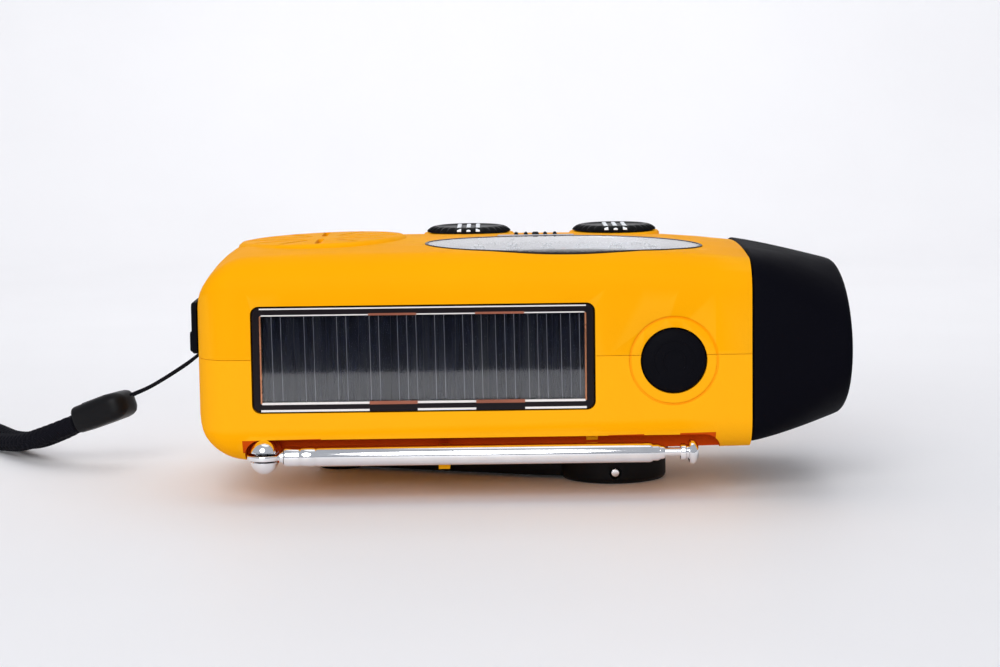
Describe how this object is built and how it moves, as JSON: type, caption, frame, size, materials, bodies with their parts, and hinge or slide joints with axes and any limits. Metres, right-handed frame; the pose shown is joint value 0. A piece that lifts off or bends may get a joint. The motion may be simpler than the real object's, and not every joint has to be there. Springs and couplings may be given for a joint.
{
  "type": "emergency radio",
  "caption": "Hand-crank and solar emergency radio with a lamp head, folding telescopic aerial, tuning dial, speaker and wrist strap, lying on its back.",
  "frame": {"origin": "centre of the radio's own bounding box, on the surface under its folded crank, without the wrist strap", "axes": "+X along the radio towards its lamp, -Y the long side with the solar panel, +Z out of the face with the speaker and dial"},
  "size_m": [0.2809, 0.1381, 0.0604],
  "materials": {
    "case_orange": "satin moulded plastic",
    "head_black": "fine matte texture",
    "clear_plastic": "clear polished plastic",
    "reflector_silver": "vacuum-metallised plastic",
    "led_epoxy": "water-clear epoxy",
    "board_green": "solder-masked board",
    "solar_cell": "dark blue silicon",
    "button_rubber": "smooth moulded rubber",
    "knob_black": "gloss black plastic",
    "dial_silver": "silver printed sheet",
    "pointer_red": "red plastic",
    "component_plastic": "moulded component body",
    "chrome": "polished chrome plate",
    "steel": "plated steel",
    "battery_sleeve": "shrink sleeve",
    "gear_nylon": "natural nylon",
    "magnet_grey": "sintered magnet and pinion",
    "cone_paper": "coated paper cone",
    "ferrite": "sintered ferrite",
    "copper_wire": "enamelled copper wire",
    "strap_braid": "braided nylon"
  },
  "bodies": {
    "root": {"front_shell": "case_orange", "back_shell": "case_orange", "case_screw_1": "steel", "case_screw_2": "steel", "case_screw_3": "steel", "case_screw_4": "steel", "battery_door": "case_orange", "battery_pack": "battery_sleeve", "flashlight_head": "head_black", "flashlight_lens": "clear_plastic", "flashlight_reflector": "reflector_silver", "led_1": "led_epoxy", "led_2": "led_epoxy", "led_3": "led_epoxy", "led_board": "board_green", "solar_window": "clear_plastic", "solar_panel": "solar_cell", "button_switch": "knob_black", "dial_plate": "dial_silver", "dial_window": "clear_plastic", "tuning_capacitor": "component_plastic", "volume_control": "component_plastic", "band_switch_body": "steel", "idler_axle": "steel", "generator_housing": "steel", "gear_plate": "steel", "speaker_frame": "steel", "speaker_cone": "cone_paper", "speaker_magnet": "steel", "circuit_board": "board_green", "ferrite_rod": "ferrite", "antenna_coil": "copper_wire", "earphone_jack": "knob_black", "charging_jack": "steel", "strap_pin": "steel", "strap_string": "strap_braid", "strap_bead": "knob_black", "strap_cord": "strap_braid"},
    "tuning_knob": {"tuning_knob": "knob_black"},
    "dial_pointer": {"dial_pointer": "pointer_red"},
    "volume_knob": {"volume_knob": "knob_black"},
    "band_switch": {"band_switch_slider": "knob_black"},
    "power_button": {"power_button": "button_rubber"},
    "antenna_base": {"antenna_knuckle": "chrome", "antenna_rivet": "steel"},
    "antenna_1": {"antenna_tube_1": "chrome"},
    "antenna_2": {"antenna_tube_2": "chrome"},
    "antenna_3": {"antenna_tube_3": "chrome"},
    "antenna_4": {"antenna_tip": "chrome"},
    "crank": {"crank_hub": "knob_black", "crank_pin": "steel", "crank_shaft": "steel", "drive_gear": "gear_nylon"},
    "crank_arm": {"crank_arm": "knob_black", "crank_knob_screw": "steel"},
    "crank_knob": {"crank_knob": "knob_black"},
    "idler": {"idler_gear": "gear_nylon"},
    "generator": {"generator_rotor": "magnet_grey"},
    "port_cover": {"port_cover": "button_rubber"}
  },
  "joints": [
    {"name": "tuning_turn", "type": "hinge", "parent": "root", "child": "tuning_knob", "pos_m": [0.0245, 0.022, 0.0588], "axis": [0, 0, 1], "range_deg": [-360, 360]},
    {"name": "pointer_slide", "type": "slide", "parent": "root", "child": "dial_pointer", "axis": [1, 0, 0], "range_m": [-0.023, 0.023]},
    {"name": "volume_turn", "type": "hinge", "parent": "root", "child": "volume_knob", "pos_m": [-0.0118, 0.022, 0.0588], "axis": [0, 0, 1], "range_deg": [-150, 150]},
    {"name": "band_slide", "type": "slide", "parent": "root", "child": "band_switch", "axis": [1, 0, 0], "range_m": [-0.0022, 0.0022]},
    {"name": "button_press", "type": "slide", "parent": "root", "child": "power_button", "axis": [0, 1, 0], "range_m": [0, 0.001], "stiffness_N_per_m": 600},
    {"name": "antenna_swivel", "type": "hinge", "parent": "root", "child": "antenna_base", "pos_m": [-0.0589, -0.0332, 0.0113], "axis": [0, 1, 0], "range_deg": [0, 120]},
    {"name": "antenna_elbow", "type": "hinge", "parent": "antenna_base", "child": "antenna_1", "pos_m": [-0.0589, -0.0332, 0.0113], "axis": [0, 0, -1], "range_deg": [0, 90]},
    {"name": "antenna_slide_1", "type": "slide", "parent": "antenna_1", "child": "antenna_2", "axis": [1, 0, 0], "range_m": [0, 0.07]},
    {"name": "antenna_slide_2", "type": "slide", "parent": "antenna_2", "child": "antenna_3", "axis": [1, 0, 0], "range_m": [0, 0.07]},
    {"name": "antenna_slide_3", "type": "slide", "parent": "antenna_3", "child": "antenna_4", "axis": [1, 0, 0], "range_m": [0, 0.07]},
    {"name": "crank_turn", "type": "hinge", "parent": "root", "child": "crank", "pos_m": [0.0228, 0.00144, 0.0046], "axis": [0, 0, 1], "continuous": true},
    {"name": "crank_fold", "type": "hinge", "parent": "crank", "child": "crank_arm", "pos_m": [0.0228, 0.00144, 0.0027], "axis": [0, -1, 0], "range_deg": [0, 180]},
    {"name": "knob_spin", "type": "hinge", "parent": "crank_arm", "child": "crank_knob", "pos_m": [-0.0447, 0.0201, 0.0065], "axis": [0, 0, 1], "continuous": true},
    {"name": "idler_spin", "type": "hinge", "parent": "root", "child": "idler", "pos_m": [0.00363, -0.00554, 0.018], "axis": [0, 0, 1], "continuous": true},
    {"name": "generator_spin", "type": "hinge", "parent": "root", "child": "generator", "pos_m": [-0.01557, -0.00554, 0.025], "axis": [0, 0, 1], "continuous": true},
    {"name": "port_cover_swing", "type": "hinge", "parent": "root", "child": "port_cover", "pos_m": [-0.0752, -0.0046, 0.0404], "axis": [0, 0, -1], "range_deg": [0, 100]}
  ],
  "couplings": [
    {"joint": "pointer_slide", "follows": "tuning_turn", "m_per_rad": 0.0035},
    {"joint": "idler_spin", "follows": "crank_turn", "ratio": -3.25},
    {"joint": "generator_spin", "follows": "crank_turn", "ratio": 9.75}
  ]
}
